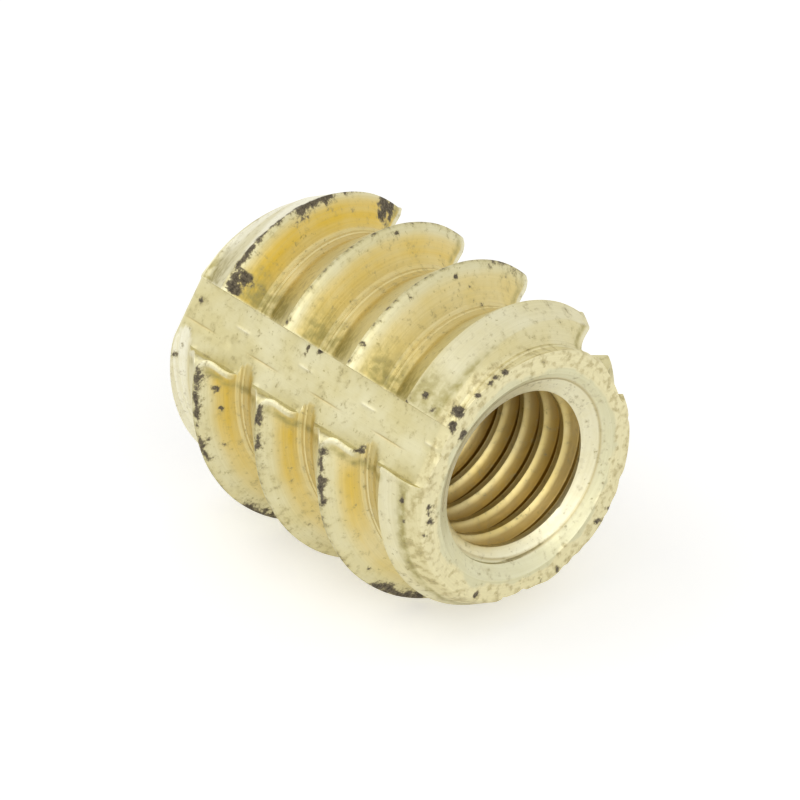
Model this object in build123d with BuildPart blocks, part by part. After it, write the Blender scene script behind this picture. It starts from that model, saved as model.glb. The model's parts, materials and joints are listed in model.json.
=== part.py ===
"""Threaded insert: a one-piece turned brass bush that gives a wooden or plastic part a metal M8 thread.

It is screwed into a plain hole by its own coarse outside thread. Millimetres. The axis lies along X and the
mouth faces +X. The origin is on the axis, midway between the end faces. The insert lies as it comes to rest,
on the two rows of crest corners beside the flute underneath.
"""

import os
from math import radians, tan

from build123d import *

# Body
LENGTH = 16.0
CREST_RADIUS = 7.1
MOUTH_FACE_RADIUS = 5.5
TAIL_FACE_RADIUS = 5.55
EDGE_BREAK = 0.12
END_CONE_ANGLE = 28.0

# Bore: its wall is at the minor diameter of the M8 x 1.25 inside thread
BORE_RADIUS = 3.475
COUNTERSINK_RADIUS = 4.6
COUNTERSINK_ANGLE = 120.0

# Outside thread: right-hand, one start, cut as a groove that leaves a knife-edged ridge.
# CREST_TO_MOUTH_FACE is how far the last crest stands behind the mouth face, at the top of the insert.
PITCH = 4.0
ROOT_RADIUS = 5.5
CREST_WIDTH = 0.14
MOUTH_FLANK_ANGLE = 32.0
TAIL_FLANK_ANGLE = 54.0
GROOVE_OVERSHOOT = 0.04
GROOVE_TURNS = 5.5
TURNS_BEHIND_LAST_CREST = 5
CREST_TO_MOUTH_FACE = 1.73

# Flutes: three along the whole length, with radial sides and a floor that is a little deeper at the cutting side
FLUTE_COUNT = 3
FLUTE_FIRST_ANGLE = -90.0
FLUTE_HALF_ANGLE = 13.5
FLUTE_FLOOR = 5.38
FLUTE_FLOOR_TILT = 3.5
FLUTE_OPENING = 7.6

HALF = LENGTH / 2
CONE_RISE = tan(radians(END_CONE_ANGLE))
MOUTH_FLANK = tan(radians(MOUTH_FLANK_ANGLE))
TAIL_FLANK = tan(radians(TAIL_FLANK_ANGLE))
FLUTE_SIDE = tan(radians(FLUTE_HALF_ANGLE))
FLOOR_SLOPE = tan(radians(FLUTE_FLOOR_TILT))
THREAD_DEPTH = CREST_RADIUS - ROOT_RADIUS
COUNTERSINK_DEPTH = (COUNTERSINK_RADIUS - BORE_RADIUS) / tan(radians(COUNTERSINK_ANGLE / 2))


def cone_length(face_radius):
    """Length of an end cone, from its broken face edge to the crest diameter."""
    return (CREST_RADIUS - face_radius - EDGE_BREAK) / CONE_RISE


# The turned blank, bored and countersunk
with BuildPart() as insert:
    with BuildSketch(Plane.XY) as half_section:
        with BuildLine():
            Polyline(
                (-HALF + COUNTERSINK_DEPTH, BORE_RADIUS),
                (-HALF, COUNTERSINK_RADIUS),
                (-HALF, TAIL_FACE_RADIUS),
                (-HALF + EDGE_BREAK, TAIL_FACE_RADIUS + EDGE_BREAK),
                (-HALF + EDGE_BREAK + cone_length(TAIL_FACE_RADIUS), CREST_RADIUS),
                (HALF - EDGE_BREAK - cone_length(MOUTH_FACE_RADIUS), CREST_RADIUS),
                (HALF - EDGE_BREAK, MOUTH_FACE_RADIUS + EDGE_BREAK),
                (HALF, MOUTH_FACE_RADIUS),
                (HALF, COUNTERSINK_RADIUS),
                (HALF - COUNTERSINK_DEPTH, BORE_RADIUS),
                close=True,
            )
        make_face()
    revolve(axis=Axis.X)

    # The groove between the ridges. It starts before the tail face and runs out past the mouth face.
    groove_start = HALF - CREST_TO_MOUTH_FACE - TURNS_BEHIND_LAST_CREST * PITCH
    groove_rise = CREST_RADIUS + GROOVE_OVERSHOOT - ROOT_RADIUS
    near_foot = groove_start + CREST_WIDTH / 2 + THREAD_DEPTH * MOUTH_FLANK
    far_foot = groove_start + PITCH - CREST_WIDTH / 2 - THREAD_DEPTH * TAIL_FLANK
    with BuildLine() as groove_path:
        Helix(
            PITCH,
            GROOVE_TURNS * PITCH,
            ROOT_RADIUS,
            center=(groove_start, 0, 0),
            direction=(1, 0, 0),
        )
    with BuildSketch(Plane.XZ) as groove_section:
        Polygon(
            (near_foot, ROOT_RADIUS),
            (far_foot, ROOT_RADIUS),
            (far_foot + groove_rise * TAIL_FLANK, ROOT_RADIUS + groove_rise),
            (near_foot - groove_rise * MOUTH_FLANK, ROOT_RADIUS + groove_rise),
            align=None,
        )
    sweep(path=groove_path.wires()[0], is_frenet=True, mode=Mode.SUBTRACT)

    # The flutes. In each section the first coordinate points outwards and the second points round the body.
    cutting_foot = FLUTE_FLOOR / (1 + FLOOR_SLOPE * FLUTE_SIDE)
    trailing_foot = FLUTE_FLOOR / (1 - FLOOR_SLOPE * FLUTE_SIDE)
    with BuildSketch(Plane.YZ.offset(-HALF)) as flute_sections:
        with PolarLocations(0, FLUTE_COUNT, start_angle=FLUTE_FIRST_ANGLE):
            Polygon(
                (cutting_foot, -cutting_foot * FLUTE_SIDE),
                (FLUTE_OPENING, -FLUTE_OPENING * FLUTE_SIDE),
                (FLUTE_OPENING, FLUTE_OPENING * FLUTE_SIDE),
                (trailing_foot, trailing_foot * FLUTE_SIDE),
                align=None,
            )
    extrude(amount=LENGTH, mode=Mode.SUBTRACT)

insert.part.label = "insert"

os.makedirs("parts", exist_ok=True)
export_step(insert.part, "parts/insert.step")
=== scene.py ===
"""Looks of the threaded insert: a turned brass bush with a coarse outside thread, lying on a pale sheet.

The skin is one closed surface. Its two long parts, the outside and the bore, are grids whose rows follow
their thread's helix and whose columns follow the flutes. Rings close the ends. Sizes are in millimetres and
angles in radians unless a name says otherwise. The axis is X, and angles turn about it from +Y towards +Z.
"""

import json
from math import cos, pi, radians, sin, tan

import bpy
import numpy as np
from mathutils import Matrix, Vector


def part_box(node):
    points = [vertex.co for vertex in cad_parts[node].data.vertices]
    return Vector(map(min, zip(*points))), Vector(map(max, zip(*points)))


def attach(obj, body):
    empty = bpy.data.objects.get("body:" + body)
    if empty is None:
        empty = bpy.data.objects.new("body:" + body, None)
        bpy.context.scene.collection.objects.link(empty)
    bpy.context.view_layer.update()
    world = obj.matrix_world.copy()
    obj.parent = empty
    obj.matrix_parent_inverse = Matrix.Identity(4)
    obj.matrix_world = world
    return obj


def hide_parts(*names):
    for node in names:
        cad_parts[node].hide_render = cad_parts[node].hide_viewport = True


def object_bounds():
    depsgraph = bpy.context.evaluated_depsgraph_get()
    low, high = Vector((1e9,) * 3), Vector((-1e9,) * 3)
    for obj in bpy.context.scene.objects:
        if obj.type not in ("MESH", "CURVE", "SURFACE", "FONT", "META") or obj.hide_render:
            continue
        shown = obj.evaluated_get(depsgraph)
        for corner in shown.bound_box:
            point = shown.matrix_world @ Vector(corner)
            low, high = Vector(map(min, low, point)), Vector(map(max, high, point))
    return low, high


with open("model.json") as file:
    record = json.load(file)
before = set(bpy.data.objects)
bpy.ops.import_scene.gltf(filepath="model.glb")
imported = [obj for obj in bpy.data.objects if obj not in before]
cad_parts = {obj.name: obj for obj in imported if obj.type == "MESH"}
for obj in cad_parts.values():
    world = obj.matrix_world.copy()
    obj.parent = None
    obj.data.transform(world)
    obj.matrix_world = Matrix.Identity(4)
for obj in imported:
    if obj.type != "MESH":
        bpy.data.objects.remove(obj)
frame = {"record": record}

cad_low, cad_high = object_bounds()
MM = 0.001
TURN = 2 * pi

# ---------------------------------------------------------------- sizes

node_low, node_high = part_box("insert")
HALF = node_high.x / MM
CREST_RADIUS = min(node_high.y, -node_low.y) / MM
mount = {m["name"]: m for m in frame["record"]["mounts"]}
BORE_RADIUS = mount["thread_bore"]["dims"]["r_mm"]

# outside thread
PITCH = 4.0
ROOT_RADIUS = 5.5
CREST_TO_MOUTH_FACE = 1.73
CREST_FLAT = 0.05
CREST_ROUND = 0.05
MOUTH_FLANK = tan(radians(32.0))
TAIL_FLANK = tan(radians(54.0))

# end cones, whose edge at the face is rounded over
CONE_ANGLE = radians(28.0)
MOUTH_CONE_RADIUS = 5.56
TAIL_CONE_RADIUS = 5.70
RIM_ROUND = 0.15

# flutes
FLUTE_CENTRES = [radians(-90.0), radians(30.0), radians(150.0)]
FLUTE_HALF_ANGLE = radians(13.5)
FLUTE_FLOOR = 5.38
FLOOR_SLOPE = tan(radians(3.5))
CUTTING_WALL_LEAN = radians(0.12)

# The trailing wall of a flute, as (radius, degrees from the flute's centre). It leans out at the foot and
# carries a burr that the cutter rolled into the flute, a little below the crest.
TRAILING_WALL = np.array([
    (5.60, 14.3), (5.80, 14.6), (6.00, 14.0), (6.20, 13.0), (6.40, 11.8), (6.60, 10.9), (6.80, 10.7),
    (6.95, 11.2), (7.03, 12.0), (7.10, 13.5),
])

# bore thread, M8 x 1.25, and its countersinks
BORE_PITCH = 1.25
BORE_CREST_AT = 7.386
BORE_MAJOR_RADIUS = 4.0
COUNTERSINK_RADIUS = 4.6
COUNTERSINK_SLOPE = tan(radians(60.0))

# small relief: the rolled burr's height, the floor's ridge and scratch, and the dents in the faces
BURR_HEIGHT = 0.06
RIDGE_HEIGHT = 0.028
SCRATCH_DEPTH = 0.016
FACE_DENT = 0.01
UNEVENNESS = 0.006
CREST_CHIPS = 90
RIM_NICKS = 24
NICKS_MIDDLE = radians(-75.0)
NICKS_SPREAD = radians(55.0)

# the mouth, by the reach from the axis: where the rough rim starts, and the spiral line of the thread's
# run-out
ROUGH_RIM_RADIUS = 4.70
RUN_OUT_START_RADIUS = 3.87
RUN_OUT_END_RADIUS = 4.32

# grid steps
LAND_COLUMNS = 92
WALL_COLUMNS = 8
TRAILING_COLUMNS = 14
BORE_COLUMNS = 150
RIM_ANGLES = np.radians([40.0, 52.0, 64.0, 77.0, 90.0])
FACE_RINGS = 4


# ---------------------------------------------------------------- outside shape

def spread(*stretches):
    """Joins stretches of evenly spaced values, each given as (first, last, count)."""
    return np.concatenate([np.linspace(*stretch) for stretch in stretches])


FOOT = CREST_FLAT + (CREST_RADIUS - ROOT_RADIUS) * MOUTH_FLANK
TOE = PITCH - CREST_FLAT - (CREST_RADIUS - ROOT_RADIUS) * TAIL_FLANK

# One pitch of the thread's outline, as (distance towards the mouth from a crest's middle, radius). The root
# keeps the small steps of the threading tool: a ledge at the foot of the mouth flank, a groove, and a low
# bead.
OUTLINE = np.array([
    (0.0, CREST_RADIUS),
    (CREST_FLAT, CREST_RADIUS),
    (CREST_FLAT + 1.6 * CREST_ROUND, CREST_RADIUS - 1.2 * CREST_ROUND),
    (FOOT - 0.12, ROOT_RADIUS + 0.14),
    (FOOT - 0.04, ROOT_RADIUS + 0.10),
    (FOOT + 0.02, ROOT_RADIUS + 0.02),
    (FOOT + 0.10, ROOT_RADIUS + 0.015),
    (FOOT + 0.14, ROOT_RADIUS + 0.04),
    (FOOT + 0.19, ROOT_RADIUS + 0.035),
    (FOOT + 0.24, ROOT_RADIUS),
    (TOE - 0.12, ROOT_RADIUS),
    (TOE - 0.04, ROOT_RADIUS + 0.02),
    (TOE + 0.08, ROOT_RADIUS + 0.07),
    (PITCH - CREST_FLAT - 1.6 * CREST_ROUND, CREST_RADIUS - 1.2 * CREST_ROUND),
    (PITCH - CREST_FLAT, CREST_RADIUS),
    (PITCH, CREST_RADIUS),
])
PITCH_ROWS = np.concatenate([
    OUTLINE[:3, 0],
    spread((0.22, FOOT - 0.22, 8)),
    OUTLINE[3:10, 0],
    spread((FOOT + 0.32, TOE - 0.2, 3)),
    OUTLINE[10:13, 0],
    spread((TOE + 0.22, PITCH - 0.28, 13)),
    OUTLINE[13:15, 0],
])


def crest_line(angle):
    """Place along the axis of the crest nearest the mouth: a right-hand helix, one pitch further on each
    turn."""
    return HALF - CREST_TO_MOUTH_FACE + PITCH * (angle / TURN - 0.25)


def thread_radius(angle, x):
    """Radius of the threaded blank: the outline, read at the distance from the crest line, modulo the
    pitch."""
    along = np.mod(x - crest_line(angle), PITCH)
    return np.interp(along, OUTLINE[:, 0], OUTLINE[:, 1])


def cone_foot(x):
    """Radius at which the nearer end cone would meet its face."""
    return np.where(x > 0, MOUTH_CONE_RADIUS, TAIL_CONE_RADIUS)


def cone_radius(x):
    """Radius of the end cones: it grows evenly with the distance from the nearer face."""
    return cone_foot(x) + (HALF - np.abs(x)) * tan(CONE_ANGLE)


def blank_radius(angle, x):
    """Radius before the flutes are cut: the thread or the end cone, whichever is smaller."""
    return np.minimum(thread_radius(angle, x), cone_radius(x))


WALL_FOOT_SIDE = TRAILING_WALL[0, 0] * sin(radians(TRAILING_WALL[0, 1]))
FLOOR_SIDES = spread((-1.27, -0.42, 6), (-0.34, -0.24, 4), (-0.14, 0.36, 4), (0.41, 0.47, 3),
                     (0.56, WALL_FOOT_SIDE, 6))


def floor_radius(offset):
    """Radius of a flute's floor at an angle from the flute's centre: a plane that rises to the trailing
    wall."""
    return FLUTE_FLOOR / (np.cos(offset) - FLOOR_SLOPE * np.sin(offset))


def trailing_angle(radius):
    """Angle of the trailing wall from the flute's centre, at a radius."""
    return np.radians(np.interp(radius, TRAILING_WALL[:, 0], TRAILING_WALL[:, 1]))


def waves(angle, x, count, finest, seed):
    """Smooth unevenness between about -1 and 1: a sum of sine waves, each with whole turns round the axis."""
    draw = np.random.default_rng(seed)
    total = np.zeros(np.broadcast(angle, x).shape)
    for _ in range(count):
        turns = draw.integers(-finest, finest + 1)
        along = draw.uniform(-finest, finest) / CREST_RADIUS
        total += np.sin(turns * angle + along * x + draw.uniform(0, TURN))
    return total / np.sqrt(2 * count)


def wear(angle, x, radius):
    """How far the skin is knocked in: seeded chips along the crests, nicks round the mouth's rim, mostly on
    its underside, and faint dents all over. Each is a bell of the distance from its middle."""
    draw = np.random.default_rng(21)
    knocked = UNEVENNESS * (1 + waves(angle, x, 18, 22, 5))
    near_crest = np.clip((radius - CREST_RADIUS + 0.5) / 0.4, 0, 1)
    for _ in range(CREST_CHIPS):
        at_angle, at_x = draw.uniform(0, TURN), draw.uniform(-HALF, HALF)
        width, depth = draw.uniform(0.08, 0.3), draw.uniform(0.02, 0.09)
        across = CREST_RADIUS * np.angle(np.exp(1j * (angle - at_angle)))
        knocked += depth * near_crest * np.exp(-(across**2 + (x - at_x) ** 2) / width**2)
    rim = np.exp(-((HALF - np.abs(x)) / 0.35) ** 2)
    for _ in range(RIM_NICKS):
        at_angle = draw.normal(NICKS_MIDDLE, NICKS_SPREAD)
        width, depth = draw.uniform(0.1, 0.4), draw.uniform(0.01, 0.08)
        across = ROOT_RADIUS * np.angle(np.exp(1j * (angle - at_angle)))
        knocked += depth * rim * (x > 0) * np.exp(-(across**2) / width**2)
    return knocked


# ---------------------------------------------------------------- skins on helical grids

def weld_helix(x, limit, shift):
    """Numbers the points of a helical grid (rows along the axis, columns round it, the last column one turn
    on).

    Points past the limits are one point with the last one inside, and the last column is the first column,
    shifted by the rows of one pitch. Returns the number of each point and, per column, its first and last
    row.
    """
    rows, columns = x.shape
    first = (x <= -limit + 1e-9).sum(axis=0) - 1
    last = rows - (x >= limit - 1e-9).sum(axis=0)
    row = np.clip(np.arange(rows)[:, None], first, last)
    number = row * columns + np.arange(columns)
    seam_row = np.clip(np.minimum(np.arange(rows) + shift, rows - 1), first[0], last[0])
    number[:, -1] = seam_row * columns
    return row, number, first, last


def helix_triangles(row, number, crease, points, outward):
    """Splits each cell of a helical grid in two triangles, along a crease where one crosses the cell and
    along the shorter diagonal elsewhere. Returns the point numbers, and the grid places that they came
    from."""
    columns = number.shape[1]
    place = row * columns + np.arange(columns)
    here, onward = slice(None, -1), slice(1, None)
    a, b, c, d = (here, here), (onward, here), (onward, onward), (here, onward)

    def length(p, q):
        return np.linalg.norm(points[p] - points[q], axis=-1)

    def pair(*triangles):
        return np.stack([np.stack([place[k] for k in t], -1) for t in triangles], -2)

    on_ac, on_bd = crease[a] & crease[c], crease[b] & crease[d]
    split_bd = np.where(on_ac ^ on_bd, on_bd, length(b, d) < length(a, c))
    corners = np.where(split_bd[..., None, None], pair((a, d, b), (d, c, b)), pair((a, d, c), (a, c, b)))
    corners = corners.reshape(-1, 3)
    if not outward:
        corners = corners[:, ::-1]
    numbered = number.reshape(-1)[corners]
    whole = (numbered != np.roll(numbered, -1, axis=1)).all(axis=1)
    return numbered[whole], corners[whole]


def ring_triangles(ring, next_ring):
    """Triangles between two closed rings with the same columns, facing out when next_ring is nearer the
    mouth."""
    ring_on, next_on = np.roll(ring, -1), np.roll(next_ring, -1)
    return np.concatenate([
        np.stack([ring, ring_on, next_on], -1),
        np.stack([ring, next_on, next_ring], -1),
    ])


def stitch(outer, outer_angle, inner, inner_angle):
    """Triangles between two rings with different columns: the angles of both are sorted together, and each
    one in turn makes a triangle with where the other ring has got to. They face the mouth."""
    outer_order = np.argsort(outer_angle, kind="stable")
    inner_order = np.argsort(inner_angle, kind="stable")
    outer, inner = outer[outer_order], inner[inner_order]
    angles = np.concatenate([outer_angle[outer_order], inner_angle[inner_order]])
    is_outer = np.arange(len(angles)) < len(outer)
    order = np.argsort(angles, kind="stable")
    steps_outer = is_outer[order]
    at_outer = np.cumsum(steps_outer)
    at_inner = np.cumsum(~steps_outer)
    here_outer, before_outer = outer[(at_outer - 1) % len(outer)], outer[(at_outer - 2) % len(outer)]
    here_inner, before_inner = inner[(at_inner - 1) % len(inner)], inner[(at_inner - 2) % len(inner)]
    return np.where(
        steps_outer[:, None],
        np.stack([before_outer, here_outer, here_inner], -1),
        np.stack([here_outer, here_inner, before_inner], -1),
    )


def place_points(x, radius, angle):
    """Cylinder coordinates to points: (x, radius * cos, radius * sin)."""
    return np.stack([x, radius * np.cos(angle), radius * np.sin(angle)], -1)


def snap_rows(along, upper, lower):
    """Moves the row nearer to each crossing of two outlines onto the crossing, so that the edge between
    them is a line of points. Returns the moved rows and where they are."""
    gap = upper - lower
    crossing = gap[:-1] * gap[1:] < 0
    part = np.where(crossing, gap[:-1] / np.where(crossing, gap[:-1] - gap[1:], 1), 0)
    target = along[:-1] + part * (along[1:] - along[:-1])
    moved = along.copy()
    edge = np.zeros(along.shape, bool)
    nearer = crossing & (part < 0.5)
    moved[:-1][nearer], edge[:-1][nearer] = target[nearer], True
    farther = crossing & (part >= 0.5)
    moved[1:][farther], edge[1:][farther] = target[farther], True
    return moved, edge


class Skin:
    """The points with their finish, and the triangles with their corner marks, gathered part by part."""

    def __init__(self):
        self.points, self.triangles, self.marks, self.fluted = [], [], [], []
        self.finish = {"gold": [], "pale": [], "tarnish": [], "deep": [], "land": []}
        self.count = 0

    def add_points(self, points, **finish):
        """Adds points of any array shape, with their finish, and returns the number of the first."""
        flat = points.reshape(-1, 3)
        self.points.append(flat)
        for kind, amounts in self.finish.items():
            amounts.append(np.asarray(finish[kind], float).reshape(-1))
        self.count += len(flat)
        return self.count - len(flat)

    def add_triangles(self, triangles, marks, fluted):
        """Adds triangles. marks holds, per corner, the place along and across the tool's marks, or is None
        where they run in circles on a face. fluted is 1 where the flutes' cutter made the surface."""
        self.triangles.append(triangles)
        self.marks.append(marks)
        self.fluted.append(np.broadcast_to(fluted, len(triangles)).astype(float))


def flute_columns():
    """The columns of one flute and the land after it, as (kind, place). The place runs from 0 to 1 in each
    kind but the floor, where it is the distance from the flute's middle."""
    wall = [("cutting wall", t) for t in np.linspace(0, 1, WALL_COLUMNS, endpoint=False)]
    floor = [("floor", side) for side in FLOOR_SIDES]
    trailing = [("trailing wall", t) for t in np.linspace(0, 1, TRAILING_COLUMNS + 1)[1:]]
    land = [("land", t) for t in spread((0.006, 0.036, 6), (0.045, 1, LAND_COLUMNS - 5))[:-1]]
    return wall + floor + trailing + land


def outside_grid():
    """The outside: rows follow the thread, columns follow the flutes.

    The trailing wall of a flute meets the thread at another angle where the thread is higher, so the
    columns there are moved, row by row, to the angle at which the two meet. That angle is found by three
    rounds of reading the radius at the last angle and the wall's angle at that radius.
    """
    turns = int(2 * HALF / PITCH) + 2
    along = np.concatenate([n * PITCH + PITCH_ROWS for n in range(1 - turns, 1)])[:, None]
    limit = HALF - RIM_ROUND * (1 - sin(CONE_ANGLE))
    land_end = TURN / len(FLUTE_CENTRES) - FLUTE_HALF_ANGLE

    def radius_at(angle):
        return blank_radius(angle, np.clip(crest_line(angle) + along, -limit, limit))

    angle, cut, past = [], [], []
    for centre in FLUTE_CENTRES:
        edge_at = np.full(along.shape, FLUTE_HALF_ANGLE)
        for _ in range(3):
            edge_at = trailing_angle(radius_at(centre + edge_at))
        edge_radius = radius_at(centre + edge_at)
        wall_foot = floor_radius(trailing_angle(0))
        for kind, place in flute_columns():
            if kind == "cutting wall":
                at = np.full(along.shape, place * CUTTING_WALL_LEAN - FLUTE_HALF_ANGLE)
                top = radius_at(centre + at)
                radius = top + place * (np.minimum(floor_radius(at), top) - top)
            elif kind == "floor":
                at = np.full(along.shape, np.arctan2(place, FLUTE_FLOOR + FLOOR_SLOPE * place))
                radius = floor_radius(at)
            elif kind == "trailing wall":
                radius = wall_foot + place * (np.maximum(edge_radius, wall_foot) - wall_foot)
                at = np.where(edge_radius > wall_foot, trailing_angle(radius),
                              trailing_angle(0) + place * 0.01)
            else:
                start = np.where(edge_radius > wall_foot, edge_at, trailing_angle(0) + 0.01)
                at = start + place * (land_end - start)
                radius = np.full(along.shape, np.inf)
            angle.append(centre + at)
            cut.append(radius)
            past.append((at - edge_at) * edge_radius if kind == "land" else np.full(along.shape, -1.0))
    angle.append(angle[0] + TURN)
    cut.append(cut[0])
    past.append(past[0])
    angle, cut, past = (np.concatenate(v, 1) for v in (angle, cut, past))

    along = np.broadcast_to(along, angle.shape)
    x = np.clip(crest_line(angle) + along, -limit, limit)
    along, edge = snap_rows(along, thread_radius(angle, x), cone_radius(x))
    x = np.clip(crest_line(angle) + along, -limit, limit)
    return angle, x, along, cut, past, edge, limit


def floor_marks(x, angle, side):
    """The traces that the cutter left on a flute's floor, as shares of their height and depth: a broken ridge
    beside each mouth flank, which also carries a painted highlight, and a fine scratch beside each root,
    which also carries a dark painted shadow line, both a little off the middle."""
    along = np.mod(x - crest_line(angle), PITCH)
    by_flank = np.exp(-(((along - 0.45) / 0.42) ** 4))
    by_root = np.exp(-(((along - 2.1) / 0.9) ** 4))
    return (by_flank * np.exp(-(((side + 0.29) / 0.045) ** 2)),
            by_root * np.exp(-(((side - 0.44) / 0.03) ** 2)))


def end_rings(skin, ring, angle, cut, end):
    """Closes one end down to the countersink: a rounded rim, then the flat face.

    The rim is an arc that turns from the cone's direction to the face's. The face's rings run evenly from
    the rim to the countersink, with a dent of sin squared between, and the columns that a burr put out of
    order are back in order on the last one. Returns the rings' point numbers and the last ring's angles.
    """
    rings = [ring]
    columns = np.arange(len(angle))
    turn_in = RIM_ROUND * (tan(CONE_ANGLE) - 1 / cos(CONE_ANGLE))
    for rim_angle in RIM_ANGLES:
        x = end * (HALF - RIM_ROUND + RIM_ROUND * sin(rim_angle)) + 0 * angle
        radius = np.minimum(cone_foot(x) + turn_in + RIM_ROUND * cos(rim_angle), cut)
        at_face = np.minimum(radius, thread_radius(angle, x)) - wear(angle, x, radius)
        rings.append(skin.add_points(place_points(x, at_face, angle), **end_finish(x)) + columns)
    in_order = np.sort(angle)
    dent = FACE_DENT * np.abs(1 + waves(angle, 0 * angle, 10, 14, 31 + end))
    for share in np.linspace(0, 1, FACE_RINGS + 1)[1:]:
        radius = at_face + share * (COUNTERSINK_RADIUS + 0.04 - at_face)
        x = end * (HALF - dent * sin(pi * share) ** 2)
        at = angle + share * (in_order - angle)
        rings.append(skin.add_points(place_points(x, radius, at), **end_finish(x)) + columns)
    return rings, in_order


def bore_grid():
    """The bore: rows follow its thread. The radius is the thread's or the countersink's, whichever is
    larger."""
    flat, flank = BORE_PITCH / 8, (BORE_MAJOR_RADIUS - BORE_RADIUS) * tan(radians(30.0))
    outline = np.array([
        (0.0, BORE_RADIUS),
        (flat - 0.04, BORE_RADIUS + 0.005),
        (flat + 0.03, BORE_RADIUS + 0.06),
        (flat + flank - 0.02, BORE_MAJOR_RADIUS - 0.05),
        (flat + flank + 0.04, BORE_MAJOR_RADIUS),
    ])
    mirrored = outline[:0:-1] * (-1, 1) + (BORE_PITCH, 0)
    outline = np.concatenate([outline, mirrored, [(BORE_PITCH, BORE_RADIUS)]])
    mid_flank = flat + flank / 2
    rows = np.concatenate([
        outline[:3, 0], [mid_flank], outline[3:7, 0], [BORE_PITCH - mid_flank], outline[7:-1, 0]])
    turns = int(2 * HALF / BORE_PITCH) + 3
    along = np.concatenate([n * BORE_PITCH + rows for n in range(1 - turns, 2)])[:, None]
    angle = np.linspace(0, TURN, BORE_COLUMNS + 1)[None, :]
    along, angle = (v.copy() for v in np.broadcast_arrays(along, angle))

    def crest(angle):
        return BORE_CREST_AT + BORE_PITCH * angle / TURN

    def thread(angle, x):
        return np.interp(np.mod(x - crest(angle), BORE_PITCH), outline[:, 0], outline[:, 1])

    def countersink(x):
        return COUNTERSINK_RADIUS - (HALF - np.abs(x)) * COUNTERSINK_SLOPE

    x = np.clip(crest(angle) + along, -HALF, HALF)
    along, edge = snap_rows(along, thread(angle, x), countersink(x))
    x = np.clip(crest(angle) + along, -HALF, HALF)
    radius = np.maximum(thread(angle, x), countersink(x))
    return angle, x, along, radius, edge, len(rows)


# ---------------------------------------------------------------- finish, as amounts on the points

# Dark skin left along the crests, as (turns back from the mouth, degrees from, degrees to, how far its
# middle is from the crest towards the mouth, its half width, strength). Degrees past 180 go on round the
# same turn.
SKIN_STRIPS = [
    (3, 128, 136, 0.26, 0.30, 1.0),
    (3, 98, 128, 0.08, 0.10, 0.80),
    (3, 82, 97, 0.16, 0.24, 1.0),
    (3, 56, 82, 0.08, 0.12, 0.85),
    (3, 48, 55, 0.36, 0.40, 0.90),
    (3, 165, 181, 0.12, 0.11, 1.0),
    (3, 181, 200, 0.10, 0.10, 0.60),
    (3, 226, 240, 0.10, 0.20, 0.85),
    (2, 164, 169, 0.10, 0.12, 0.85),
    (2, 174, 178, 0.12, 0.11, 0.85),
    (1, 166, 184, 0.13, 0.12, 0.95),
    (1, 40, 64, 0.06, 0.14, 0.65),
    (1, 228, 250, 0.16, 0.20, 0.90),
]

# Separate spots, as (place along the axis, degrees round it, reach from it unless the blank's is less,
# spot's size, strength). ON_BLANK is a reach past every crest, so it puts a spot on the blank's surface.
ON_BLANK = 9.0
SPOTS = [
    # the ridge nearest the tail
    (-4.3, 171, ON_BLANK, 0.20, 1.0), (-4.1, 179, ON_BLANK, 0.11, 0.9), (-4.3, 191, ON_BLANK, 0.16, 0.75),
    (-4.0, 195, ON_BLANK, 0.14, 0.8),
    # a flute's floor, beside its cutting wall
    (-1.0, 139, 5.4, 0.14, 1.1), (-0.3, 137, 5.4, 0.15, 1.1),
    # the tops and mouth flanks of the ridges between
    (-1.6, 91, ON_BLANK, 0.14, 0.75), (-1.6, 80, ON_BLANK, 0.16, 0.75), (-2.0, 49, ON_BLANK, 0.14, 0.75),
    (2.5, 83, ON_BLANK, 0.14, 0.8), (2.7, 77, ON_BLANK, 0.13, 0.75), (3.1, 71, ON_BLANK, 0.12, 0.8),
    (2.6, 104, ON_BLANK, 0.14, 0.65), (2.8, 127, ON_BLANK, 0.14, 0.65), (1.9, 52, ON_BLANK, 0.15, 0.7),
    (4.0, 164, 5.8, 0.22, 1.0), (4.1, 219, ON_BLANK, 0.15, 0.8),
    # the mouth's cone and rim, and a patch that runs on across the face
    (6.5, 131, ON_BLANK, 0.20, 0.8), (7.0, 134, ON_BLANK, 0.20, 0.85), (6.1, 137, ON_BLANK, 0.16, 0.8),
    (7.8, 129, ON_BLANK, 0.30, 1.1), (7.95, 135, ON_BLANK, 0.26, 1.1), (8.0, 136, 4.75, 0.25, 1.0),
    (7.95, 102, ON_BLANK, 0.20, 1.0), (7.93, 106, ON_BLANK, 0.18, 0.95), (7.9, 110, ON_BLANK, 0.14, 0.9),
    (7.95, 118, ON_BLANK, 0.18, 0.9), (7.2, 172, ON_BLANK, 0.14, 0.8), (7.3, 181, ON_BLANK, 0.12, 0.75),
    # the mouth's face
    (8.0, 173, 5.2, 0.18, 1.0), (8.0, 177, 5.15, 0.17, 1.0), (8.0, 181, 5.1, 0.20, 1.0),
    (8.0, 187, 5.4, 0.14, 0.8), (8.0, -121, 5.3, 0.17, 0.9), (8.0, -43, 5.3, 0.22, 0.85),
    (8.0, -36, 5.4, 0.16, 0.8), (8.0, -71, 5.4, 0.18, 0.8), (8.0, -81, 5.3, 0.15, 0.75),
    # the tail's cone and the flute's end
    (-7.8, 173, ON_BLANK, 0.16, 0.85), (-7.5, 145, 5.4, 0.13, 0.75), (-6.9, 151, 5.4, 0.11, 0.75),
]
FILM_ON_CRESTS = 0.36

# The painted golden reflections on the flanks are stronger on the lower side, which is the half turn from
# this angle on.
LOWER_SIDE_FROM = radians(160.0)


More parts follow.
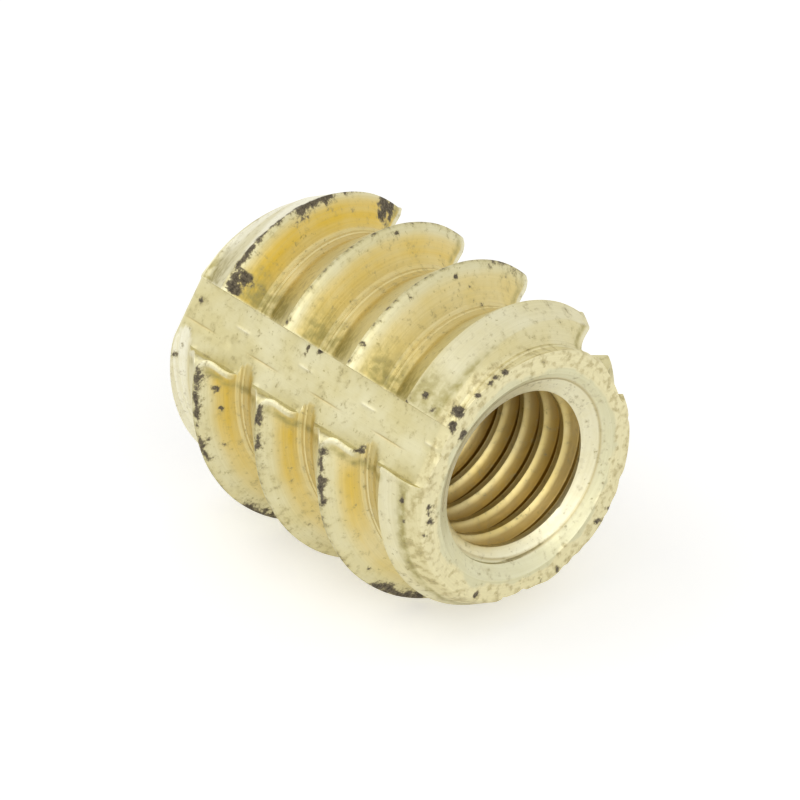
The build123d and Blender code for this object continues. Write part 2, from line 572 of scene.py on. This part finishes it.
def stain_amount(points, angle, x, land):
    """How much dark skin each point carries. A strip fades from its middle line and past its ends, and its
    width wanders; the crests have a thin film all along; both stay on the land, which is 1 there and 0 in
    the flutes and on the mouth's cone. A spot is a bell of the distance from its middle."""
    along = x - crest_line(angle)
    turn = np.floor((along + 1) / PITCH)
    across = along - turn * PITCH
    helix_degrees = np.degrees(angle + TURN * turn)
    wander = np.maximum(1 + 0.45 * waves(angle, x, 14, 30, 77), 0.3)
    total = FILM_ON_CRESTS * np.exp(-((across / 0.09) ** 2))
    for back, start, end, middle, width, strength in SKIN_STRIPS:
        off_end = np.maximum(np.abs(helix_degrees - (start + end) / 2 + 360 * back) - (end - start) / 2, 0)
        off_middle = (across - middle) / (width * wander)
        total = np.maximum(total, strength * np.exp(-((off_end / 2.0) ** 2) - off_middle**2))
    total = total * land
    for at_x, degrees, reach, size, strength in SPOTS:
        reach = min(reach, float(blank_radius(radians(degrees), at_x)))
        distance = np.linalg.norm(points - place_points(at_x, reach, radians(degrees)), axis=-1)
        total = np.maximum(total, strength * np.exp(-((distance / size) ** 3)))
    return total


def smooth_step(low, high, value):
    """Rises smoothly from 0 at low to 1 at high."""
    t = np.clip((value - low) / (high - low), 0, 1)
    return t * t * (3 - 2 * t)


def lip(past):
    """The burr rolled over a flute's trailing edge, as a share of its height, from the distance past the
    edge."""
    return smooth_step(-0.02, 0.06, past) * (1 - smooth_step(0.18, 0.34, past))


def thread_finish(angle, x, along, radius, offset, side, past, in_flute):
    """Painted golden reflections on the mouth flanks and the roots, where facing flanks would mirror each
    other, more towards the tail and on the lower side; a whitish burnish on the cones and at the tail's end,
    partly a painted highlight, and a painted highlight on the burrs and along the floor's ridge; tarnished
    crests; a painted shadow on the flank beside the burrs; painted shade where the valleys run out at a
    flute's cutting wall; a darker tone on the mouth's cone; a dark painted shadow line in the floor's
    scratch. down is 0 at a crest and 1 at the root, and each edge is a smooth step."""
    down = (CREST_RADIUS - radius) / (CREST_RADIUS - ROOT_RADIUS)
    across = np.mod(along, PITCH)
    degrees = np.degrees(offset)
    cone = smooth_step(-0.03, 0.06, thread_radius(angle, x) - cone_radius(x))
    open_land = (1 - cone) * ~in_flute
    sideways = np.sin(angle - LOWER_SIDE_FROM)
    below = smooth_step(0.0, 0.26, sideways)
    # Painted gold: it stands in for the warm reflections that facing flanks and roots throw on each other,
    # stronger on the lower side and towards the tail.
    flank = smooth_step(0.10 + 0.15 * below, 0.40 + 0.28 * below, down) * \
        (1 - smooth_step(FOOT - 0.25, FOOT, across))
    root = 0.4 * smooth_step(FOOT - 0.25, FOOT, across) * (1 - smooth_step(TOE, TOE + 0.8, across))
    towards_tail = 1 - 0.55 * smooth_step(-5.0, 3.0, x)
    burr = lip(past) * smooth_step(5.65, 5.95, radius) * (1 - cone * (x > 0))
    shade = np.maximum(towards_tail, 0.95 * below) * (1 - 0.5 * smooth_step(0.45, 0.85, sideways))
    gold = (flank * shade + root) * open_land * (1 - burr)
    gold = gold * smooth_step(-7.6, -6.4, x) * (1 - 0.8 * smooth_step(4.0, 5.5, x))

    crest = 0.6 * np.exp(-((np.minimum(across, PITCH - across) / 0.10) ** 2)) * open_land
    # Painted shadow: a band on the flank just past the burr, where the burr would shade it.
    by_burr = 0.9 * np.exp(-(((past - 0.48) / 0.16) ** 2)) * smooth_step(0.05, 0.2, down) * \
        smooth_step(-7.0, -6.0, x) * open_land * (past >= 0)
    # Painted shade: the valleys darken where they run out at a flute's cutting wall.
    run_out = 0.95 * smooth_step(0.12, 0.5, down) * smooth_step(-36, -17, degrees) * \
        (degrees < -13) * open_land
    by_mouth = cone * smooth_step(HALF - 1.2, HALF - 0.7, x) * (1 - 0.6 * smooth_step(HALF - 0.3, HALF, x))
    mouth_land = 0.8 * cone * (x > 0) * smooth_step(-36, -20, degrees) * (degrees < -13)
    tarnish = np.maximum.reduce([crest, by_burr, run_out, by_mouth, mouth_land]) * ~in_flute

    # The floor's ridge gets a painted highlight and its scratch a dark painted shadow line.
    ridge, scratch = floor_marks(x, angle, side)
    # Whitish tone: partly a painted highlight on the cones and at the tail's end; a painted highlight on the
    # burrs and along the floor's ridge.
    pale = np.maximum(cone * (1 - 0.75 * (x > 0)), 1 - smooth_step(-7.4, -6.6, x)) * ~in_flute
    pale = np.maximum.reduce([pale * (1 - 0.7 * tarnish), 0.45 * burr, 0.6 * in_flute * ridge])
    return {"gold": gold, "pale": pale, "tarnish": tarnish, "deep": 0.6 * in_flute * scratch,
            "land": (1 - cone * (x > 0)) * ~in_flute}


def end_finish(x):
    """The faces and rims: a little pale, a little tarnished."""
    return {"gold": 0 * x, "pale": 0 * x + 0.4, "tarnish": 0 * x + 0.15, "deep": 0 * x, "land": 0 * x}


def build_skin():
    """Gathers the outside, the bore and both ends into one surface."""
    skin = Skin()

    angle, x, along, cut, past, edge, limit = outside_grid()
    row, number, first, last = weld_helix(x, limit, len(PITCH_ROWS))
    blank = blank_radius(angle, x)
    in_flute = cut <= blank + 1e-3
    radius = np.minimum(blank, cut)
    nearest = np.array(FLUTE_CENTRES)[np.argmin(
        np.abs(np.angle(np.exp(1j * (angle[..., None] - np.array(FLUTE_CENTRES))))), -1)]
    offset = np.angle(np.exp(1j * (angle - nearest)))
    side = radius * np.sin(offset)
    floor = in_flute & (np.abs(radius - floor_radius(offset)) < 1e-6)
    finish = thread_finish(angle, x, along, radius, offset, side, past, in_flute)
    ridge, scratch = floor_marks(x, angle, side)
    burr = BURR_HEIGHT * lip(past) * smooth_step(ROOT_RADIUS + 0.15, ROOT_RADIUS + 0.5, radius) * (past >= 0)
    radius = np.where(past >= 0, np.minimum(radius + burr, np.maximum(radius, CREST_RADIUS - 0.02)), radius)
    radius = radius + floor * (RIDGE_HEIGHT * ridge - SCRATCH_DEPTH * scratch) - wear(angle, x, blank)
    points = place_points(x, radius, angle)
    base = skin.add_points(points, **finish)
    triangles, corners = helix_triangles(row, number, edge, points, outward=True)
    outline_length = np.concatenate([[0], np.cumsum(np.hypot(*np.diff(OUTLINE, axis=0).T))])
    across = np.interp(np.mod(along, PITCH), OUTLINE[:, 0], outline_length) + \
        np.floor(along / PITCH) * outline_length[-1]
    thread_marks = np.stack([angle * ROOT_RADIUS, across], -1).reshape(-1, 2)
    flute_marks = np.stack([x, side + radius * np.abs(np.cos(offset))], -1).reshape(-1, 2)
    fluted = in_flute.reshape(-1)[corners].all(axis=1)
    marks = np.where(fluted[:, None, None], flute_marks[corners], thread_marks[corners])
    skin.add_triangles(base + triangles, marks, fluted)

    columns = np.arange(angle.shape[1] - 1)
    ends = {}
    for end, rows in ((1, last[:-1]), (-1, first[:-1])):
        ring = base + number[rows, columns]
        ring_angle = angle[rows, columns]
        rings, last_angle = end_rings(skin, ring, ring_angle, cut[rows, columns], end)
        ends[end] = (rings[-1], last_angle)
        for ring, next_ring in zip(rings, rings[1:]):
            pair = (ring, next_ring) if end > 0 else (next_ring, ring)
            skin.add_triangles(ring_triangles(*pair), None, 0)

    angle, x, along, radius, edge, pitch_rows = bore_grid()
    row, number, first, last = weld_helix(x, HALF, pitch_rows)
    points = place_points(x, radius, angle)
    depth = HALF - np.abs(x)
    inside = smooth_step(0.5, 1.2, depth)
    # Painted shade and reflections: further inside, the bore's grooves darken and turn golden; its ends are
    # whiter, as a painted highlight.
    groove = smooth_step(BORE_RADIUS + 0.06, BORE_RADIUS + 0.38, radius) * inside
    base = skin.add_points(points, gold=0.55 * inside, pale=0.5 * (1 - 0.9 * inside), tarnish=0 * x,
                           deep=groove * smooth_step(0.5, 2.0, depth), land=0 * x)
    triangles, corners = helix_triangles(row, number, edge, points, outward=False)
    marks = np.stack([angle * BORE_MAJOR_RADIUS, along], -1).reshape(-1, 2)[corners]
    skin.add_triangles(base + triangles, marks, 0)
    columns = np.arange(angle.shape[1] - 1)
    for end, rows in ((1, last[:-1]), (-1, first[:-1])):
        ring, ring_angle = ends[end]
        inner = base + number[rows, columns]
        lap = np.mod(ring_angle, TURN)
        triangles = stitch(ring, lap, inner, angle[rows, columns])
        skin.add_triangles(triangles if end > 0 else triangles[:, ::-1], None, 0)
    return skin


def make_insert():
    """Puts the skin into a mesh. Its tool marks are a UV map, its cutter's surfaces a face attribute, and
    these point attributes: the painted golden reflections, the whitish tone with its painted highlights, the
    tarnished tone with its painted shade and shadow, the painted shade in hollows, and the stains."""
    skin = build_skin()
    points = np.concatenate(skin.points)
    triangles = np.concatenate(skin.triangles)
    reach = np.hypot(points[:, 1], points[:, 2])
    angle = np.arctan2(points[:, 2], points[:, 1])
    face_marks = np.stack([angle * ROOT_RADIUS, reach], -1)
    marks = np.concatenate([face_marks[t] if m is None else m for t, m in zip(skin.triangles, skin.marks)])
    used, triangles = np.unique(triangles, return_inverse=True)
    triangles = triangles.reshape(-1, 3)
    points, angle = points[used], angle[used]

    mesh = bpy.data.meshes.new("threaded_insert")
    mesh.from_pydata((points * MM).tolist(), [], triangles.tolist())
    uv = mesh.uv_layers.new(name="tool_marks")
    uv.data.foreach_set("uv", marks.reshape(-1).astype(np.float32))
    fluted = mesh.attributes.new("fluted", "FLOAT", "FACE")
    fluted.data.foreach_set("value", np.concatenate(skin.fluted).astype(np.float32))
    amounts = {kind: np.concatenate(parts)[used] for kind, parts in skin.finish.items()}
    amounts["stains"] = stain_amount(points, angle, points[:, 0], amounts.pop("land"))
    for kind, amount in amounts.items():
        attribute = mesh.attributes.new(kind, "FLOAT", "POINT")
        attribute.data.foreach_set("value", amount.astype(np.float32))
    mesh.polygons.foreach_set("use_smooth", np.ones(len(triangles), bool))
    mesh.set_sharp_from_angle(angle=radians(26.0))
    mesh.update()
    insert = bpy.data.objects.new("threaded_insert", mesh)
    bpy.context.scene.collection.objects.link(insert)
    return insert


# ---------------------------------------------------------------- materials

def linear(hex_colour):
    """An sRGB hex colour as linear red, green, blue and alpha."""
    srgb = np.array([int(hex_colour[i:i + 2], 16) / 255 for i in (0, 2, 4)])
    rgb = np.where(srgb <= 0.04045, srgb / 12.92, ((srgb + 0.055) / 1.055) ** 2.4)
    return (*rgb.tolist(), 1.0)


def add(tree, kind, inputs=None, **settings):
    """Adds a node, with its settings, and with each named or numbered input set to a value or linked to a
    socket."""
    node = tree.nodes.new(kind)
    for name, value in settings.items():
        setattr(node, name, value)
    for key, value in (inputs or {}).items():
        if isinstance(value, bpy.types.NodeSocket):
            tree.links.new(value, node.inputs[key])
        else:
            node.inputs[key].default_value = value
    return node


def new_material(name):
    """An empty node material."""
    material = bpy.data.materials.new(name)
    material.use_nodes = True
    material.node_tree.nodes.clear()
    return material, material.node_tree


def turned_brass():
    """Free-cutting brass, turned and milled, bare. It gives whitish lemon faces, and painted golden
    reflections where faces would mirror each other; painted highlights, painted shade and painted shadow come
    from the point attributes; lathe lines show as fine steps of brightness; dark skin is left where the tools
    did not reach."""
    material, tree = new_material("turned free-cutting brass")
    per_metre = 1 / MM
    place = add(tree, "ShaderNodeTexCoord").outputs["Object"]
    marks = add(tree, "ShaderNodeUVMap", uv_map="tool_marks").outputs[0]
    axes = add(tree, "ShaderNodeSeparateXYZ", {"Vector": place}).outputs

    def amount(name):
        return add(tree, "ShaderNodeAttribute", attribute_name=name).outputs["Fac"]

    def noise(size_mm, detail, vector=place, scale=per_metre, roughness=0.5):
        return add(tree, "ShaderNodeTexNoise", {
            "Vector": vector, "Scale": scale / size_mm, "Detail": detail,
            "Roughness": roughness}).outputs["Fac"]

    def rescale(value, low, high, to_low=0.0, to_high=1.0):
        return add(tree, "ShaderNodeMapRange", {
            "Value": value, "From Min": low, "From Max": high, "To Min": to_low,
            "To Max": to_high}).outputs[0]

    def maths(operation, first, second):
        return add(tree, "ShaderNodeMath", {0: first, 1: second}, operation=operation).outputs[0]

    def blend(share, first, second):
        return add(tree, "ShaderNodeMix", {"Factor": share, 6: first, 7: second}, data_type="RGBA").outputs[2]

    def tool_lines(per_mm_along, per_mm_across, detail):
        stretch = (per_mm_along, per_mm_across, 1.0)
        stretched = add(tree, "ShaderNodeMapping", {"Vector": marks, "Scale": stretch})
        return noise(1, detail, stretched.outputs[0], 1)

    # lathe and cutter lines: 0.07 mm apart, several millimetres long, and broader bands 0.3 mm apart
    fine = tool_lines(0.2, 14.0, 3.0)
    broad = tool_lines(0.12, 3.5, 2.0)
    cloud = noise(1.6, 3.0)
    mottle = noise(0.35, 4.0)
    grit = noise(0.11, 5.0, roughness=0.65)

    # the mouth, by the reach from the axis: a rough outer rim, a smooth ring, and the line where the bore's
    # thread runs out, a spiral that opens over half a turn
    squares = maths("ADD", maths("MULTIPLY", axes[1], axes[1]), maths("MULTIPLY", axes[2], axes[2]))
    reach = maths("SQRT", squares, 0)
    turn = maths("ARCTAN2", axes[2], axes[1])
    at_mouth = rescale(axes[0], (HALF - 0.75) * MM, (HALF - 0.6) * MM)
    rim = maths("ADD", reach, maths("MULTIPLY", rescale(cloud, 0.3, 0.7, -0.25, 0.25), MM))
    rim = maths("MULTIPLY", rescale(rim, ROUGH_RIM_RADIUS * MM, (ROUGH_RIM_RADIUS + 0.15) * MM), at_mouth)
    line_at = rescale(turn, radians(-120.0), radians(60.0),
                      RUN_OUT_START_RADIUS * MM, RUN_OUT_END_RADIUS * MM)
    past_line = maths("SUBTRACT", reach, line_at)
    inner = maths("MULTIPLY", rescale(past_line, -0.05 * MM, 0.0, 1.0, 0.0), at_mouth)
    line = maths("MULTIPLY", rescale(maths("ABSOLUTE", past_line, 0), 0.0, 0.09 * MM, 1.0, 0.0), at_mouth)
    ring = maths("MULTIPLY", rescale(past_line, 0.0, 0.1 * MM), at_mouth)
    ring = maths("MULTIPLY", ring, maths("SUBTRACT", 1.0, rim))

    # brass colours
    colour = blend(rescale(cloud, 0.35, 0.65, 0.0, 0.6), linear("DCD6B0"), linear("D5CA94"))
    # Painted gold: the warm reflections between facing flanks, painted into the colour.
    gold = maths("MULTIPLY", amount("gold"), rescale(broad, 0.2, 0.7, 0.7, 1.0))
    gold = maths("MULTIPLY", gold, rescale(cloud, 0.3, 0.6, 0.8, 1.0))
    colour = blend(gold, colour, linear("DDBB48"))
    # Whitish tone: a painted highlight on the burrs, the floor's ridge and the bore's ends, and partly one on
    # the cones.
    pale = maths("MULTIPLY", amount("pale"), rescale(mottle, 0.3, 0.6, 0.6, 1.0))
    colour = blend(pale, colour, linear("F5F2DC"))
    # Tarnish on the crests, with a painted shadow beside the burrs and painted shade where the valleys run
    # out.
    tarnish = maths("MULTIPLY", amount("tarnish"), rescale(mottle, 0.35, 0.58, 0.35, 1.0))
    colour = blend(tarnish, colour, linear("A59B62"))
    # Painted shade: darker in the bore's grooves and along the floor's scratch.
    colour = blend(maths("MULTIPLY", amount("deep"), 0.85), colour, linear("9A741E"))
    colour = blend(maths("MULTIPLY", ring, 0.35), colour, linear("C6C69C"))
    colour = blend(maths("MULTIPLY", line, 0.6), colour, linear("A8965A"))
    colour = blend(maths("MULTIPLY", rim, 0.7), colour, linear("E6DDB0"))
    milled = maths("MULTIPLY", amount("fluted"), rescale(cloud, 0.35, 0.65, 0.05, 0.30))
    colour = blend(milled, colour, linear("BDB27C"))
    rough_rim = maths("MULTIPLY", rim, rescale(mottle, 0.48, 0.62))
    colour = blend(maths("MULTIPLY", rough_rim, 0.35), colour, linear("AC9A64"))
    scored = maths("MULTIPLY", rescale(fine, 0.35, 0.65, 0.0, 0.12),
                   rescale(amount("fluted"), 0, 1, 1.0, 0.3))
    colour = blend(scored, colour, linear("A99A62"))
    worn = maths("MULTIPLY", rescale(mottle, 0.50, 0.66), rescale(cloud, 0.40, 0.60, 0.03, 0.28))
    worn = maths("MULTIPLY", worn, rescale(amount("gold"), 0.0, 1.0, 1.0, 0.3))
    colour = blend(worn, colour, linear("A89C6E"))

    # freckles of dull oxide, thicker in some places than in others
    freckle = maths("MULTIPLY", rescale(noise(0.2, 2.0), 0.66, 0.72),
                    rescale(noise(2.2, 1.0), 0.4, 0.62, 0.15, 1.0))
    colour = blend(maths("MULTIPLY", freckle, 0.55), colour, linear("8F8350"))

    # dark skin: the painted amount, torn up by clots and by the grit
    ragged = maths("ADD", amount("stains"), rescale(mottle, 0.3, 0.7, -0.38, 0.38))
    ragged = maths("ADD", ragged, rescale(grit, 0.3, 0.7, -0.30, 0.30))
    skin = rescale(ragged, 0.46, 0.74)
    film = rescale(ragged, 0.20, 0.56, 0.0, 0.55)
    colour = blend(film, colour, linear("A2976C"))
    colour = blend(skin, colour, blend(rescale(grit, 0.4, 0.65), linear("4A4236"), linear("857A63")))

    roughness = maths("ADD", rescale(mottle, 0.3, 0.7, 0.40, 0.50), maths("MULTIPLY", skin, 0.3))
    lines = maths("ADD", maths("MULTIPLY", fine, 0.5), maths("MULTIPLY", broad, 0.8))
    height = maths("MULTIPLY", lines, rescale(amount("fluted"), 0, 1, 1.0, 0.45))
    height = maths("ADD", height, maths("MULTIPLY", mottle, maths("ADD", 0.9, maths("MULTIPLY", rim, 2.0))))
    height = maths("ADD", height, maths("MULTIPLY", skin, 0.5))
    height = maths("SUBTRACT", height, maths("MULTIPLY", inner, 1.5))
    bump = add(tree, "ShaderNodeBump", {"Strength": 0.5, "Distance": 0.02 * MM, "Height": height})
    shader = add(tree, "ShaderNodeBsdfPrincipled", {
        "Base Color": colour, "Metallic": rescale(skin, 0.0, 1.0, 1.0, 0.25), "Roughness": roughness,
        "Normal": bump.outputs[0]})
    add(tree, "ShaderNodeOutputMaterial", {"Surface": shader.outputs[0]})
    return material


def seen_directly(tree):
    """1 for a ray from the camera, a mirror or glass, 0 for the rays that only carry light."""
    ray = add(tree, "ShaderNodeLightPath").outputs
    seen = add(tree, "ShaderNodeMath", {0: ray["Is Camera Ray"], 1: ray["Is Glossy Ray"]},
               operation="MAXIMUM").outputs[0]
    return add(tree, "ShaderNodeMath", {0: seen, 1: ray["Is Transmission Ray"]},
               operation="MAXIMUM").outputs[0]


def pale_sheet(whiteness):
    """Matt white card: a diffuse sheet that keeps the shadow, lifted to white for the rays that see it
    directly, in a mirror or through glass."""
    material, tree = new_material("matt white card")
    card = add(tree, "ShaderNodeBsdfDiffuse", {"Color": linear("F4F4F4")})
    lift = add(tree, "ShaderNodeMath", {0: seen_directly(tree), 1: whiteness}, operation="MULTIPLY")
    glow = add(tree, "ShaderNodeEmission", {"Color": linear("FFFFFF"), "Strength": lift.outputs[0]})
    both = add(tree, "ShaderNodeAddShader", {0: card.outputs[0], 1: glow.outputs[0]})
    add(tree, "ShaderNodeOutputMaterial", {"Surface": both.outputs[0]})
    return material


# ---------------------------------------------------------------- stage, light and camera

def studio():
    """A pale floor under the insert, a white surround and two soft boxes."""
    half, floor_z = 2.0, cad_low.z
    mesh = bpy.data.meshes.new("floor")
    corners = [(-half, -half, floor_z), (half, -half, floor_z), (half, half, floor_z), (-half, half, floor_z)]
    mesh.from_pydata(corners, [], [(0, 1, 2, 3)])
    floor = bpy.data.objects.new("floor", mesh)
    bpy.context.scene.collection.objects.link(floor)
    mesh.materials.append(pale_sheet(0.40))

    world = bpy.data.worlds.new("studio")
    bpy.context.scene.world = world
    world.use_nodes = True
    tree = world.node_tree
    tree.nodes.clear()
    strength = add(tree, "ShaderNodeMapRange", {"Value": seen_directly(tree), "To Min": 0.55, "To Max": 1.0})
    light = add(tree, "ShaderNodeBackground", {"Color": linear("FFFFFF"), "Strength": strength.outputs[0]})
    add(tree, "ShaderNodeOutputWorld", {"Surface": light.outputs[0]})

    for name, place, size, power in (
        ("key soft box", (-0.25, -0.30, 0.45), 0.50, 0.6),
        ("fill soft box", (0.42, -0.14, 0.24), 0.40, 0.65),
    ):
        lamp = bpy.data.lights.new(name, "AREA")
        lamp.size = size
        lamp.energy = power
        holder = bpy.data.objects.new(name, lamp)
        holder.location = place
        holder.rotation_euler = (-Vector(place)).to_track_quat("-Z", "Y").to_euler()
        bpy.context.scene.collection.objects.link(holder)


def camera():
    """A long lens from the mouth's side, 31 degrees above the sheet, aimed at the middle of the insert."""
    azimuth, elevation, distance = radians(50.0), radians(30.9), 0.49
    back = Vector((sin(azimuth) * cos(elevation), -cos(azimuth) * cos(elevation), sin(elevation)))
    lens = bpy.data.cameras.new("camera")
    lens.sensor_width = 36.0
    lens.lens = 537.0
    holder = bpy.data.objects.new("camera", lens)
    holder.location = back * distance
    holder.rotation_euler = (-back).to_track_quat("-Z", "Y").to_euler()
    bpy.context.scene.collection.objects.link(holder)
    bpy.context.scene.camera = holder


camera()
studio()
bpy.context.scene.view_settings.view_transform = "Standard"

insert = make_insert()
insert.data.materials.append(turned_brass())
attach(insert, "root")
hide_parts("insert")
